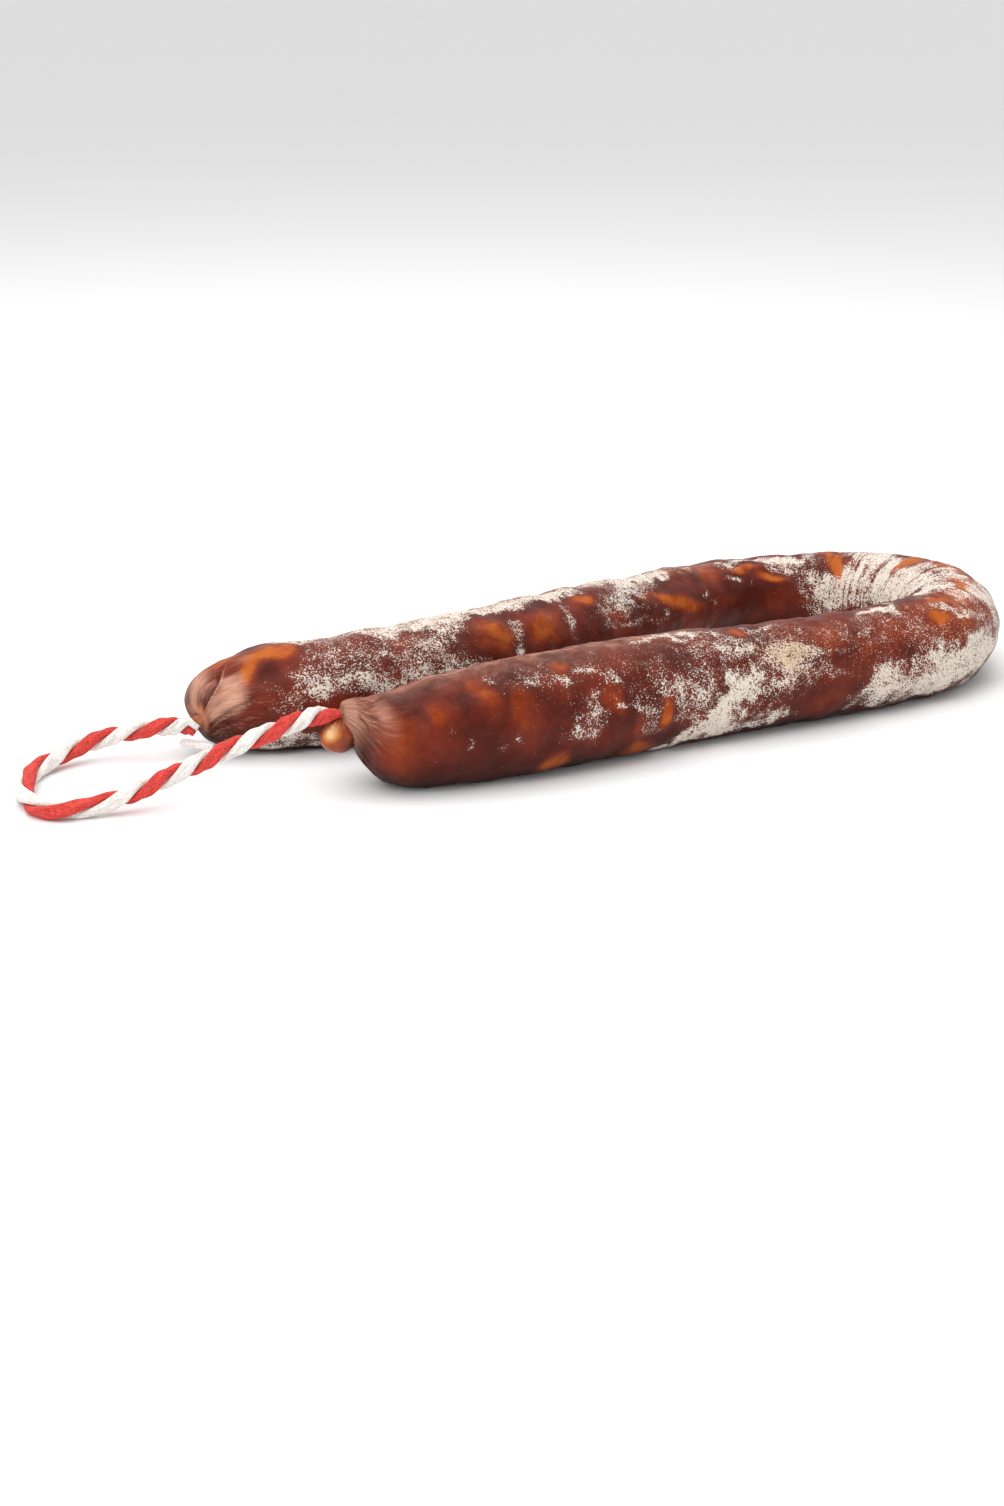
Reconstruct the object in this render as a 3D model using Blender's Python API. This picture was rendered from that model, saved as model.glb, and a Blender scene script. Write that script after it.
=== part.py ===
"""A dry-cured horseshoe sausage that lies flat, its two ends tied together by a loop of twine.

Metres, +Z up, z = 0 is the surface it lies on.  The bend points to +X and the open, tied
ends to -X.  The origin is about under the middle of the sausage, its twine left out.

sausage     the filled casing, one solid: legs, bend, gathered ends and the small end bulb
twine       the hanging loop, from the near end down to the surface and back to the far end
twine_tail  the twine's cut end, which shows below the far tie
"""

from math import cos, degrees, exp, pi, radians, sin

import bmesh
import bpy
from mathutils import Vector

MM = 0.001

# The casing's centreline: arcs as (length in mm, turn in degrees, + is to the left).
START = Vector((-116.5, -26.2))
HEADING = -20.5
ARCS = [(78, 21), (66, -5), (60, 4),                    # near leg
        (38, 54), (38, 43), (38, 41), (38, 60),         # bend
        (66, -1.5), (66, -3.5), (86, -46)]              # far leg
EASE = 9                                                # mm over which one arc runs into the next
LENGTH = sum(length for length, turn in ARCS)

# Diameters in mm at even steps from the near end to the far end.
GIRTHS = [28, 35, 35.5, 33.5, 33, 33.5, 30, 26, 29, 32.5, 34.5, 34.5, 30.0]
REST_FLAT = 0.8                                         # mm that its weight flattens underneath
SIDES = 40
SHARP_ANGLE = 50                                        # degrees, shaded as an edge above this
BODY_STEP = 9                                           # mm between rings along the body
CAP_RINGS = 11                                          # rings over each gathered end

# Gathered ends: the length each takes to close, how full it stays, how late it is drawn to its
# neck, the neck's place and radius, the way it points, and how far its stub stands out.
NEAR_CAP = {"length": 25, "fullness": 1.7, "draw": 3, "neck": Vector((-115.6, -26.0, 23.2)),
            "radius": 2.6, "aim": Vector((-0.97, 0.22, 0.04)).normalized(), "stub": 1.5}
FAR_CAP = {"length": 19, "fullness": 1.8, "draw": 3, "neck": Vector((-139.0, 22.4, 11.2)),
           "radius": 2.4, "aim": Vector((-0.97, -0.05, -0.1)).normalized(), "stub": 1.5}

# The far end has two lobes with a deep fold between them, which runs up from the neck, and the
# upper lobe stands out past the neck.  Angles go round the end from its -Y side, over the top.
FOLD_ANGLE = 72
FOLD_WIDTH = 12
FOLD_DEPTH = 0.2                                        # as a part of the radius
LOBE_ANGLE = 135
LOBE_WIDTH = 60
LOBE_PUSH = 4.2                                         # mm out past the neck
LOBE_REACH = 20                                         # mm from the far end

# The small bulb of casing below the near tie.
BULB_CENTRE = (-117.0, -26.0, 15.8)
BULB_RADII = (4.6, 4.2, 4.5)

# Twine.
TWINE_DIAMETER = 5.5
TWINE_STEP = 2.3                                        # diameters between the tube's points
GAP = 0.3
SLANT_GAP = 2.2                                         # where the twine meets a neck at a slant
NEAR_TIE = NEAR_CAP["neck"] + NEAR_CAP["aim"] * (NEAR_CAP["stub"] + GAP)
FAR_TIE = FAR_CAP["neck"] + FAR_CAP["aim"] * (FAR_CAP["stub"] + SLANT_GAP)
TWINE_ROUTE = [
    NEAR_TIE, (-125.5, -24.0, 23.2), (-134.4, -22.8, 21.0), (-145.2, -19.6, 17.4),
    (-156.6, -16.4, 13.0), (-168.6, -13.8, 8.6), (-180.0, -11.4, 5.0), (-189.0, -9.2, 3.2),
    (-197.0, -6.4, 2.8), (-201.0, -0.6, 2.8), (-200.9, 9.0, 2.8), (-197.2, 19.6, 2.8),
    (-190.0, 29.6, 2.8), (-181.5, 34.6, 3.8), (-172.5, 36.4, 5.4), (-162.4, 34.2, 7.6),
    (-152.2, 28.4, 9.9), FAR_TIE]

# The cut tail lies below the far tie.
TAIL_DIAMETER = 3
TAIL_ROUTE = [(-145.2, 23.6, 5.4), (-143.4, 21.4, 5.3), (-141.6, 19.2, 5.2),
              (-139.8, 17.0, 5.1), (-138.2, 15.0, 5.0)]


def clear_scene():
    for thing in list(bpy.data.objects):
        bpy.data.objects.remove(thing, do_unlink=True)


def material(name, colour, roughness):
    made = bpy.data.materials.new(name)
    made.use_nodes = True
    shader = made.node_tree.nodes["Principled BSDF"]
    shader.inputs["Base Color"].default_value = (*colour, 1)
    shader.inputs["Roughness"].default_value = roughness
    shader.inputs["Metallic"].default_value = 0
    return made


def centreline():
    """Points and headings 1 mm apart along the eased chain of arcs."""
    turns = []
    for length, turn in ARCS:
        turns += [radians(turn) / length] * length
    weights = {k: exp(-0.5 * (k / EASE) ** 2) for k in range(-3 * EASE, 3 * EASE + 1)}
    total = sum(weights.values())
    last = len(turns) - 1
    point, heading = START.copy(), radians(HEADING)
    line = [(point.copy(), heading)]
    for i in range(len(turns)):
        bend = sum(w * turns[min(max(i + k, 0), last)] for k, w in weights.items()) / total
        middle = heading + bend / 2
        point = point + Vector((cos(middle), sin(middle)))
        heading += bend
        line.append((point.copy(), heading))
    return line


def through(values, u):
    """A smooth curve through evenly spaced values, read at u from 0 to 1."""
    t = min(max(u, 0), 1) * (len(values) - 1)
    i = min(int(t), len(values) - 2)
    f = t - i
    b, c = values[i], values[i + 1]
    a = values[i - 1] if i else 2 * b - c
    d = values[i + 2] if i + 2 < len(values) else 2 * c - b
    return 0.5 * (2 * b + (c - a) * f + (2 * a - 5 * b + 4 * c - d) * f ** 2
                  + (3 * b - a - 3 * c + d) * f ** 3)


def closing(along, cap):
    """How far open a gathered end is, 0 at its neck to 1 on the body."""
    t = min(along / cap["length"], 1)
    return (1 - (1 - t) ** cap["fullness"]) ** (1 / cap["fullness"])


def gathering(along, cap):
    """How far a ring is drawn to the neck, 1 at the neck to 0 on the body."""
    return (1 - min(along / cap["length"], 1)) ** cap["draw"]


def stations():
    """Distances along the centreline of the rings, close together on the ends."""
    near = [NEAR_CAP["length"] * (1 - cos(0.5 * pi * k / CAP_RINGS)) for k in range(CAP_RINGS)]
    far = [LENGTH - FAR_CAP["length"] * (1 - cos(0.5 * pi * k / CAP_RINGS)) for k in range(CAP_RINGS)]
    first, last = NEAR_CAP["length"], LENGTH - FAR_CAP["length"]
    count = round((last - first) / BODY_STEP)
    body = [first + (last - first) * k / count for k in range(count + 1)]
    return near + body + far[::-1]


def end_relief(along_end):
    """How strongly the lobes and the fold show, 0 at the neck and on the body."""
    return sin(pi * min(along_end / LOBE_REACH, 1) ** 0.5)


def beside(angle, middle, width):
    """1 at an angle round the end, in degrees, falling off over a width to either side."""
    return exp(-((degrees(angle) - middle) / width) ** 2)


def casing_ring(distance, line):
    """The centre, forward direction and radius of the casing at a distance along its line."""
    i = min(int(distance), LENGTH - 1)
    mix = distance - i
    point = line[i][0].lerp(line[i + 1][0], mix)
    heading = line[i][1] + (line[i + 1][1] - line[i][1]) * mix
    forward = Vector((cos(heading), sin(heading), 0))
    full = through(GIRTHS, distance / LENGTH) / 2
    centre = Vector((point.x, point.y, full - REST_FLAT))
    radius = full
    for along, cap, sense in ((distance, NEAR_CAP, -1), (LENGTH - distance, FAR_CAP, 1)):
        drawn = gathering(along, cap)
        radius = cap["radius"] + (radius - cap["radius"]) * closing(along, cap)
        centre = centre.lerp(cap["neck"], drawn)
        forward = forward.lerp(cap["aim"] * sense, drawn).normalized()
    return centre, forward, radius


def ring_points(centre, forward, radius, from_far):
    """The points of one ring, with the lobes and the flat underneath."""
    left = Vector((0, 0, 1)).cross(forward).normalized()
    up = forward.cross(left)
    relief = end_relief(from_far)
    points = []
    for k in range(SIDES):
        angle = 2 * pi * k / SIDES
        fold = relief * FOLD_DEPTH * beside(angle, FOLD_ANGLE, FOLD_WIDTH)
        push = relief * LOBE_PUSH * beside(angle, LOBE_ANGLE, LOBE_WIDTH)
        out = cos(angle) * left + sin(angle) * up
        place = centre + radius * (1 - fold) * out + push * forward
        place.z = max(place.z, 0)
        points.append(place)
    return points


def casing_rings():
    """All rings of the casing from the near stub to the far stub."""
    line = centreline()
    rings = [ring_points(NEAR_CAP["neck"] + NEAR_CAP["aim"] * NEAR_CAP["stub"],
                         -NEAR_CAP["aim"], NEAR_CAP["radius"], LENGTH)]
    for distance in stations():
        rings.append(ring_points(*casing_ring(distance, line), LENGTH - distance))
    rings.append(ring_points(FAR_CAP["neck"] + FAR_CAP["aim"] * FAR_CAP["stub"],
                             FAR_CAP["aim"], FAR_CAP["radius"], 0))
    return rings


def build_sausage(skin):
    shape = bmesh.new()
    rings = [[shape.verts.new(place * MM) for place in points] for points in casing_rings()]
    for one, two in zip(rings, rings[1:]):
        for k in range(SIDES):
            n = (k + 1) % SIDES
            shape.faces.new((one[k], one[n], two[n], two[k]))
    shape.faces.new(rings[0][::-1])
    shape.faces.new(rings[-1])
    bmesh.ops.recalc_face_normals(shape, faces=shape.faces)
    casing = mesh_object("sausage", shape, skin)
    casing.data.shade_smooth()
    casing.data.set_sharp_from_angle(angle=radians(SHARP_ANGLE))
    join_bulb(casing)


def join_bulb(casing):
    """The end bulb, welded to the casing."""
    shape = bmesh.new()
    bmesh.ops.create_uvsphere(shape, u_segments=20, v_segments=12, radius=1)
    bmesh.ops.scale(shape, vec=Vector(BULB_RADII) * MM, verts=shape.verts)
    bmesh.ops.translate(shape, vec=Vector(BULB_CENTRE) * MM, verts=shape.verts)
    bulb = mesh_object("bulb_guide", shape, None)
    bulb.hide_render = True
    bulb.display_type = 'WIRE'
    weld = casing.modifiers.new("weld bulb", 'BOOLEAN')
    weld.operation = 'UNION'
    weld.solver = 'EXACT'
    weld.object = bulb


def mesh_object(name, shape, finish):
    mesh = bpy.data.meshes.new(name)
    shape.to_mesh(mesh)
    shape.free()
    made = bpy.data.objects.new(name, mesh)
    bpy.context.collection.objects.link(made)
    if finish:
        mesh.materials.append(finish)
    return made


def smooth_points(route, step):
    """Points about a step apart on a smooth curve through a route's points."""
    count = max(2, round(sum((b - a).length for a, b in zip(route, route[1:])) / step))
    tracks = [[p[axis] for p in route] for axis in range(3)]
    return [Vector([through(track, k / count) for track in tracks]) for k in range(count + 1)]


def tube(name, points, diameter, finish, bevel):
    """A closed round tube along points in mm."""
    curve = bpy.data.curves.new(name, 'CURVE')
    curve.dimensions = '3D'
    curve.bevel_depth = diameter * MM / 2
    curve.bevel_resolution = bevel
    curve.use_fill_caps = True
    spline = curve.splines.new('POLY')
    spline.points.add(len(points) - 1)
    for knot, place in zip(spline.points, points):
        knot.co = (*(place * MM), 1)
    spline.use_smooth = True
    curve.materials.append(finish)
    made = bpy.data.objects.new(name, curve)
    bpy.context.collection.objects.link(made)
    return made


def build_twine(fibre):
    for name, route, diameter, bevel in (("twine", TWINE_ROUTE, TWINE_DIAMETER, 4),
                                         ("twine_tail", TAIL_ROUTE, TAIL_DIAMETER, 2)):
        points = smooth_points([Vector(p) for p in route], TWINE_STEP * diameter)
        tube(name, points, diameter, fibre, bevel)


def main():
    clear_scene()
    skin = material("casing", (0.18, 0.045, 0.025), 0.42)
    fibre = material("cotton_twine", (0.85, 0.55, 0.5), 0.85)
    build_sausage(skin)
    build_twine(fibre)


main()
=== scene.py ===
"""Looks of the cured sausage: casing with bloom and fat, end bulb, twine, floor and light."""

from math import cos, exp, pi, radians, sin

import bpy
import numpy as np
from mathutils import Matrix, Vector, noise


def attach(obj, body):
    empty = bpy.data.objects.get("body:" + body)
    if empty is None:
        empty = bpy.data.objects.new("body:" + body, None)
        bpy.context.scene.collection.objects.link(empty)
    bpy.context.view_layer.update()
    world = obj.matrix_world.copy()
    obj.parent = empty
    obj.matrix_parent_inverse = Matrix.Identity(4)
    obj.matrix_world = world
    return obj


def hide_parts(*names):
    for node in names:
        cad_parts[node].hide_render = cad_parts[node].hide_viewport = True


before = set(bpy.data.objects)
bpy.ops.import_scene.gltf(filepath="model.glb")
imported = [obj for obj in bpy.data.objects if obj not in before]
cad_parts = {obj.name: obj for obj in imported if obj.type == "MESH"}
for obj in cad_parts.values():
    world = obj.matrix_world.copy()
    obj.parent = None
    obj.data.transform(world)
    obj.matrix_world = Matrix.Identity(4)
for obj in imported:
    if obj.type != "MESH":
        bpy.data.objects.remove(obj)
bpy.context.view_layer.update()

MM = 0.001

# ---------------------------------------------------------------------------------------------
# The casing's shape in mm, as its solid has it.
# ---------------------------------------------------------------------------------------------

# The casing's line from above: where it starts, which way it sets out in degrees, and a chain of
# arcs as (length, turn in degrees), whose joints are eased over a distance. Its diameters are at
# even steps along it.
START = Vector((-116.5, -26.2))
HEADING = -20.5
ARCS = [(78, 21), (66, -5), (60, 4),                    # near leg
        (38, 54), (38, 43), (38, 41), (38, 60),         # bend
        (66, -1.5), (66, -3.5), (86, -46)]              # far leg
EASE = 9
LENGTH = sum(length for length, turn in ARCS)
GIRTHS = [28, 35, 35.5, 33.5, 33, 33.5, 30, 26, 29, 32.5, 34.5, 34.5, 30.0]
REST_FLAT = 0.8                                         # how deep its own weight flattens it

# The gathered ends: how long and full each is and how late it is drawn to its neck, then the
# neck's place, radius, aim and the length of its stub.
NEAR_CAP = {"length": 25, "fullness": 1.7, "draw": 3, "neck": Vector((-115.6, -26.0, 23.2)),
            "radius": 2.6, "aim": Vector((-0.97, 0.22, 0.04)).normalized(), "stub": 1.5}
FAR_CAP = {"length": 19, "fullness": 1.8, "draw": 3, "neck": Vector((-139.0, 22.4, 11.2)),
           "radius": 2.4, "aim": Vector((-0.97, -0.05, -0.1)).normalized(), "stub": 1.5}

# The lobe that stands out at the far end: its middle and width in degrees round the casing, how
# far it is pushed on, and how far back it reaches.
LOBE_ANGLE = 135
LOBE_WIDTH = 60
LOBE_PUSH = 4.2
LOBE_REACH = 20

# The near face falls back round its neck by a depth, over mm from the neck and out to the rim.
FUNNEL_DEPTH = 2.6
FUNNEL_START = (0.2, 3.5)
GATHER_FADE = (5, 15)                                   # where both ends' folds die away

BULB_CENTRE = Vector((-116.7, -26.2, 16.8))
BULB_RADII = Vector((5.7, 5.1, 5.0))

NEAR_CUFF = 0.2                                         # how far the skin runs on over the twine
FAR_CUFF = 1.6

# Faces of the skin, along it and round it, and how much closer its rings are on the two ends.
ALONG = 740
AROUND = 130
END_RINGS = 3.6

# ---------------------------------------------------------------------------------------------
# The twine in mm.
# ---------------------------------------------------------------------------------------------

TWINE_DIAMETER = 5.5
GAP = 0.3                                               # from the near neck's stub to the twine
SLANT_GAP = 2.2                                         # from the far one, which it meets aslant
ROOT_DEPTH = 2.2                                        # how far the strands run into the near neck
NEAR_TIE = NEAR_CAP["neck"] + NEAR_CAP["aim"] * (NEAR_CAP["stub"] + GAP)
FAR_TIE = FAR_CAP["neck"] + FAR_CAP["aim"] * (FAR_CAP["stub"] + SLANT_GAP)
TWINE_ROUTE = [
    NEAR_TIE, (-125.5, -24.0, 23.2), (-134.4, -22.8, 21.0), (-145.2, -19.6, 17.4),
    (-156.6, -16.4, 13.0), (-168.6, -13.8, 8.6), (-180.0, -11.4, 5.0), (-189.0, -9.2, 3.2),
    (-197.0, -6.4, 2.8), (-201.0, -0.6, 2.8), (-200.9, 9.0, 2.8), (-197.2, 19.6, 2.8),
    (-190.0, 29.6, 2.8), (-181.5, 34.6, 3.8), (-172.5, 36.4, 5.4), (-162.4, 34.2, 7.6),
    (-152.2, 28.4, 9.9), FAR_TIE]
NEAR_ROOT = NEAR_TIE - NEAR_CAP["aim"] * ROOT_DEPTH
TUCK = Vector((-141.0, 20.7, 9.2))                      # where the strands end below the far neck
ROOT_PARTS = (1.0, 0.67, 0.33)                          # the strands' rings past each tie
TUCK_PARTS = (0.25, 0.5, 0.75, 1.0)

# Turns the red strand has made after so many mm of twine.
LAY = [(0, 0.42), (4, 0.5), (9, 0.92), (18, 1.44), (28, 1.94), (38, 2.44), (47, 2.94), (57, 3.44),
       (67, 3.94), (84, 4.44), (100, 4.84), (118, 5.15), (136, 5.6), (147, 6.08), (158, 6.58),
       (169, 7.1), (175, 7.5), (179, 7.8)]

# How thick the twine is at each tie, and over how many mm it gets to its full thickness.
NEAR_THICK = 0.3
NEAR_TAPER = 5.5
FAR_THICK = 0.55
FAR_TAPER = 6

# A strand's section in parts of the twine's diameter, the yarn in it, and its faces.
STRAND_OFF = 0.245                                      # from the twine's middle to the strand's
STRAND_HALF = (0.24, 0.39)                              # half its size outwards and sideways
STRAND_CORNERS = 0.8                                    # 1 is an oval, less is fuller
FILAMENTS = 9
FILAMENT_RIDGE = 0.03
YARN_TWIST = 14                                         # degrees a mm that each strand's yarn turns
YARN_PITCH = 0.03                                       # how slowly its colour changes along it
STRAND_SIDES = 36
STRAND_STEP = 0.6
FLOOR_GAP = 0.02                                        # the least height of the strands

# The cut end: its size, the grooves between its yarns, and its thickness inside and at the cut,
# which is rounded off over its last tenth.
TAIL_DIAMETER = 3
TAIL_GROOVES = 5
TAIL_GROOVE_DEPTH = 0.06
TAIL_THICK = 0.86
TAIL_ROUND = 0.5
TAIL_TWIST = 1.4
TAIL_STEP = 0.4
TAIL_ROUTE = [(-145.2, 23.6, 5.4), (-143.4, 21.4, 5.3), (-141.6, 19.2, 5.2),
              (-139.8, 17.0, 5.1), (-138.2, 15.0, 5.0)]

# ---------------------------------------------------------------------------------------------
# Camera, floor and light.
# ---------------------------------------------------------------------------------------------

LENS = 57.37
SENSOR_WIDTH = 36
CAMERA_PLACE = (-0.42937, -0.61798, 0.24119)
CAMERA_SWING = 31.94                                    # degrees from +Y towards +X
CAMERA_DIP = 19                                         # degrees down

SKY_LIGHT = 0.8
FLOOR_SIZE = 40
FLOOR_WHITE = (0.9, 0.9, 0.9)
FLOOR_ROUGH = 0.9


def set_camera():
    data = bpy.data.cameras.new("camera")
    data.lens = LENS
    data.sensor_width = SENSOR_WIDTH
    camera = bpy.data.objects.new("camera", data)
    bpy.context.collection.objects.link(camera)
    swing, dip = radians(CAMERA_SWING), radians(CAMERA_DIP)
    view = Vector((sin(swing) * cos(dip), cos(swing) * cos(dip), -sin(dip)))
    camera.location = CAMERA_PLACE
    camera.rotation_euler = view.to_track_quat('-Z', 'Y').to_euler()
    bpy.context.scene.camera = camera


def set_light():
    world = bpy.data.worlds.new("studio")
    bpy.context.scene.world = world
    world.use_nodes = True
    sky = world.node_tree.nodes["Background"]
    sky.inputs["Color"].default_value = (1, 1, 1, 1)
    sky.inputs["Strength"].default_value = SKY_LIGHT
    panel("overhead", place=(-0.05, 0.15, 0.9), target=(0, 0, 0), width=1.3, power=7.5)
    panel("front", place=(-0.8, -0.35, 0.8), target=(-0.1, 0, 0), width=0.5, power=3)
    bpy.context.scene.view_settings.view_transform = 'Standard'


def panel(name, place, target, width, power):
    """A square soft light at a place, turned to a target."""
    data = bpy.data.lights.new(name, 'AREA')
    data.shape = 'SQUARE'
    data.size = width
    data.energy = power
    light = bpy.data.objects.new(name, data)
    bpy.context.collection.objects.link(light)
    light.location = place
    light.rotation_euler = (Vector(target) - Vector(place)).to_track_quat('-Z', 'Y').to_euler()


def lay_floor():
    deselect()
    bpy.ops.mesh.primitive_plane_add(size=FLOOR_SIZE, location=(0, 0, 0))
    floor = bpy.context.object
    floor.name = "floor"
    paint = Paint("floor_white")
    paint.shader(FLOOR_WHITE, FLOOR_ROUGH)
    floor.data.materials.append(paint.material)


# ---------------------------------------------------------------------------------------------
# Shader maths.
# ---------------------------------------------------------------------------------------------

class Wire:
    """A socket that adds Math nodes when it is used in sums."""

    def __init__(self, paint, socket):
        self.paint = paint
        self.socket = socket

    def maths(self, operation, *values):
        return self.paint.node('ShaderNodeMath', {"operation": operation}, dict(enumerate(values)))

    def __add__(self, other):
        return self.maths('ADD', self, other)

    def __sub__(self, other):
        return self.maths('SUBTRACT', self, other)

    def __mul__(self, other):
        return self.maths('MULTIPLY', self, other)

    def __rsub__(self, other):
        return self.maths('SUBTRACT', other, self)

    __radd__ = __add__
    __rmul__ = __mul__

    def power(self, other):
        return self.maths('POWER', self, other)

    def at_least(self, other):
        return self.maths('MAXIMUM', self, other)

    def size(self):
        return self.maths('ABSOLUTE', self)

    def limit(self):
        """Cut to 0 below and 1 above."""
        return self.paint.node('ShaderNodeClamp', {}, {"Value": self})

    def step(self, low, high):
        """0 below low and 1 above high, with a smooth rise between."""
        return self.paint.node('ShaderNodeMapRange', {"interpolation_type": 'SMOOTHSTEP'},
                               {"Value": self, "From Min": low, "From Max": high})


class Paint:
    """A material and the nodes in it."""

    def __init__(self, name):
        self.material = bpy.data.materials.new(name)
        self.material.use_nodes = True
        self.tree = self.material.node_tree
        self.principled = self.tree.nodes["Principled BSDF"]

    def node(self, kind, settings, sockets, output=0):
        made = self.tree.nodes.new(kind)
        for name, value in settings.items():
            setattr(made, name, value)
        for name, value in sockets.items():
            self.feed(made.inputs[name], value)
        return Wire(self, made.outputs[output])

    def feed(self, socket, value):
        if isinstance(value, Wire):
            self.tree.links.new(value.socket, socket)
        elif isinstance(value, tuple) and len(value) == 3 and socket.type == 'RGBA':
            socket.default_value = (*value, 1)
        else:
            socket.default_value = value

    def attribute(self, name, output="Fac"):
        return self.node('ShaderNodeAttribute', {"attribute_name": name}, {}, output)

    def place(self):
        return self.node('ShaderNodeTexCoord', {}, {}, "Object")

    def noise(self, scale, detail=2, rough=0.5, at=None):
        return self.node('ShaderNodeTexNoise', {},
                         {"Vector": at or self.place(), "Scale": scale, "Detail": detail,
                          "Roughness": rough}, "Fac")

    def stretched(self, scales, at):
        return self.node('ShaderNodeMapping', {}, {"Vector": at, "Scale": scales})

    def mix(self, amount, one, two):
        made = self.node('ShaderNodeMix', {"data_type": 'RGBA'}, {}, 2).socket.node
        self.feed(made.inputs[0], amount)
        self.feed(made.inputs[6], one)
        self.feed(made.inputs[7], two)
        return Wire(self, made.outputs[2])

    def bump(self, height, strength, distance, normal=None):
        sockets = {"Height": height, "Strength": strength, "Distance": distance}
        if normal:
            sockets["Normal"] = normal
        return self.node('ShaderNodeBump', {}, sockets)

    def shader(self, base, rough, normal=None, **constants):
        self.feed(self.principled.inputs["Base Color"], base)
        self.feed(self.principled.inputs["Roughness"], rough)
        if normal:
            self.feed(self.principled.inputs["Normal"], normal)
        for name, value in constants.items():
            self.feed(self.principled.inputs[name.replace("_", " ")], value)


def srgb(red, green, blue):
    """A colour given as a painter reads it off a chart, 0 to 255, made linear."""
    def linear(value):
        part = value / 255
        return part / 12.92 if part <= 0.04045 else ((part + 0.055) / 1.055) ** 2.4
    return linear(red), linear(green), linear(blue)


# ---------------------------------------------------------------------------------------------
# Modelling helpers.
# ---------------------------------------------------------------------------------------------

def deselect():
    bpy.ops.object.select_all(action='DESELECT')


def read_points(mesh):
    flat = np.empty(len(mesh.vertices) * 3)
    mesh.vertices.foreach_get("co", flat)
    return flat.reshape(-1, 3)


def write_points(mesh, points):
    mesh.vertices.foreach_set("co", np.ascontiguousarray(points, dtype=float).ravel())
    mesh.update()


def write_attribute(mesh, name, values):
    mesh.attributes.new(name, 'FLOAT', 'POINT').data.foreach_set("value", values)


def write_vectors(mesh, name, values):
    made = mesh.attributes.new(name, 'FLOAT_VECTOR', 'POINT')
    made.data.foreach_set("vector", np.asarray(values).ravel())


def rolled_sheet(name, rings, sides):
    """A flat grid to be rolled into a tube, and the ring and the side each of its points is on."""
    deselect()
    bpy.ops.mesh.primitive_grid_add(x_subdivisions=rings, y_subdivisions=sides, size=1)
    sheet = bpy.context.object
    sheet.name = name
    flat = read_points(sheet.data)
    ring = np.rint((flat[:, 0] + 0.5) * rings).astype(int)
    side = np.rint((flat[:, 1] + 0.5) * sides).astype(int) % sides
    return sheet, ring, side


def close_skin():
    """Join the rolled sheet's edges, and close its two ends."""
    bpy.ops.object.mode_set(mode='EDIT')
    bpy.ops.mesh.select_all(action='SELECT')
    bpy.ops.mesh.remove_doubles(threshold=1e-7)
    bpy.ops.mesh.select_all(action='SELECT')
    bpy.ops.mesh.fill_holes(sides=0)
    bpy.ops.mesh.select_all(action='SELECT')
    bpy.ops.mesh.normals_make_consistent(inside=False)
    bpy.ops.object.mode_set(mode='OBJECT')


def smoothstep(low, high, values):
    t = np.clip((values - low) / (high - low), 0, 1)
    return t * t * (3 - 2 * t)


def lumps(points, size, seed):
    """Soft noise from -1 to 1 over points in mm, with lumps of a size in mm."""
    shift = Vector((seed * 17.3, seed * -9.1, seed * 5.7))
    return np.array([noise.noise(Vector(point) / size + shift) for point in points])


def through(values, u):
    """A smooth curve through evenly spaced values, read at u from 0 to 1."""
    t = min(max(u, 0), 1) * (len(values) - 1)
    i = min(int(t), len(values) - 2)
    f = t - i
    b, c = values[i], values[i + 1]
    a = values[i - 1] if i else 2 * b - c
    d = values[i + 2] if i + 2 < len(values) else 2 * c - b
    return 0.5 * (2 * b + (c - a) * f + (2 * a - 5 * b + 4 * c - d) * f ** 2
                  + (3 * b - a - 3 * c + d) * f ** 3)


# ---------------------------------------------------------------------------------------------
# The casing.
# ---------------------------------------------------------------------------------------------

MEAT_DARK = srgb(74, 21, 9)
MEAT_LIGHT = srgb(112, 38, 21)
# Painted shade, for the casing's underside, the floors of its folds and the bulb's shaded side.
MEAT_PAINTED_SHADE = srgb(40, 10, 4)
FAT_RED = srgb(136, 50, 15)
FAT_ORANGE = srgb(182, 90, 14)
# A painted highlight, pale pink, for the glossy ends, the rims of folds and the tops of pleats.
PAINTED_HIGHLIGHT_PINK = srgb(225, 171, 145)
BLOOM_WHITE = srgb(230, 220, 208)
BLOOM_SHADE = srgb(180, 158, 142)
BLOOM_YELLOW = srgb(206, 174, 128)
# Fine dust, also standing in for a painted sheen along the casing's tops.
DUST_AND_SHEEN = srgb(194, 134, 112)


def centreline():
    """Points and headings 1 mm apart along the eased chain of arcs."""
    turns = []
    for length, turn in ARCS:
        turns += [radians(turn) / length] * length
    weights = {k: exp(-0.5 * (k / EASE) ** 2) for k in range(-3 * EASE, 3 * EASE + 1)}
    total = sum(weights.values())
    last = len(turns) - 1
    point, heading = START.copy(), radians(HEADING)
    line = [(point.copy(), heading)]
    for i in range(len(turns)):
        bend = sum(w * turns[min(max(i + k, 0), last)] for k, w in weights.items()) / total
        middle = heading + bend / 2
        point = point + Vector((cos(middle), sin(middle)))
        heading += bend
        line.append((point.copy(), heading))
    return line


def closing(along, cap):
    """How far open a gathered end is, 0 at its neck to 1 on the body."""
    t = min(max(along / cap["length"], 0), 1)
    return (1 - (1 - t) ** cap["fullness"]) ** (1 / cap["fullness"])


def gathering(along, cap):
    """How far a ring is drawn to the neck, 1 at the neck to 0 on the body."""
    return (1 - min(max(along / cap["length"], 0), 1)) ** cap["draw"]


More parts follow.
